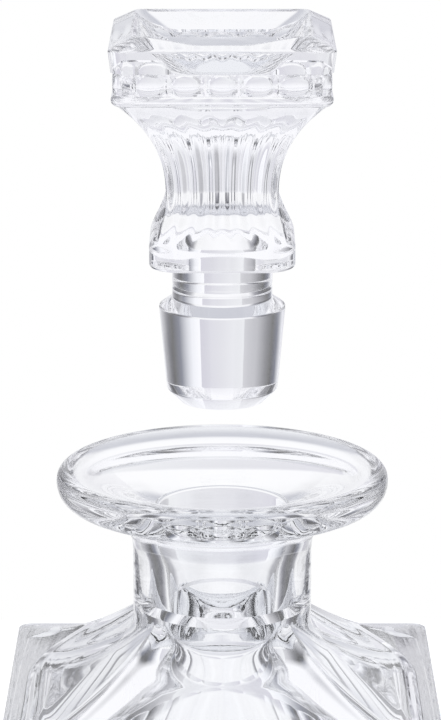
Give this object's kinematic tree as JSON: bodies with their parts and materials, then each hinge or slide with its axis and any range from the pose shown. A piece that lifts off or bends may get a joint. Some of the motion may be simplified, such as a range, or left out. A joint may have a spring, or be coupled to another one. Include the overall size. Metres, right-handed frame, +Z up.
{
  "type": "square crystal decanter with lift-out stopper",
  "caption": "Square cut crystal decanter with fluted sides, a wide funnel lip and a square dished stopper on a ground plug that lifts out.",
  "frame": {"origin": "centre of the underside of the bottle, on the table", "axes": "+Z up along the axis of bottle and stopper, -Y the side that faces the viewer, X along that side"},
  "size_m": [0.09, 0.09, 0.2913],
  "materials": {
    "bottle_crystal": "clear lead crystal, fire polished, with cut flutes",
    "head_crystal": "clear lead crystal, pressed and cut, polished",
    "plug_crystal": "clear lead crystal, ground to a taper and polished"
  },
  "bodies": {
    "bottle": {"bottle": "bottle_crystal"},
    "plug": {"stopper_plug": "plug_crystal"},
    "head": {"stopper_head": "head_crystal"}
  },
  "joints": [
    {"name": "stopper_lift", "type": "slide", "parent": "bottle", "child": "plug", "axis": [0, 0, 1], "range_m": [-0.0445, 0.02]},
    {"name": "stopper_turn", "type": "hinge", "parent": "plug", "child": "head", "pos_m": [0, 0, 0.24], "axis": [0, 0, 1], "continuous": true}
  ]
}
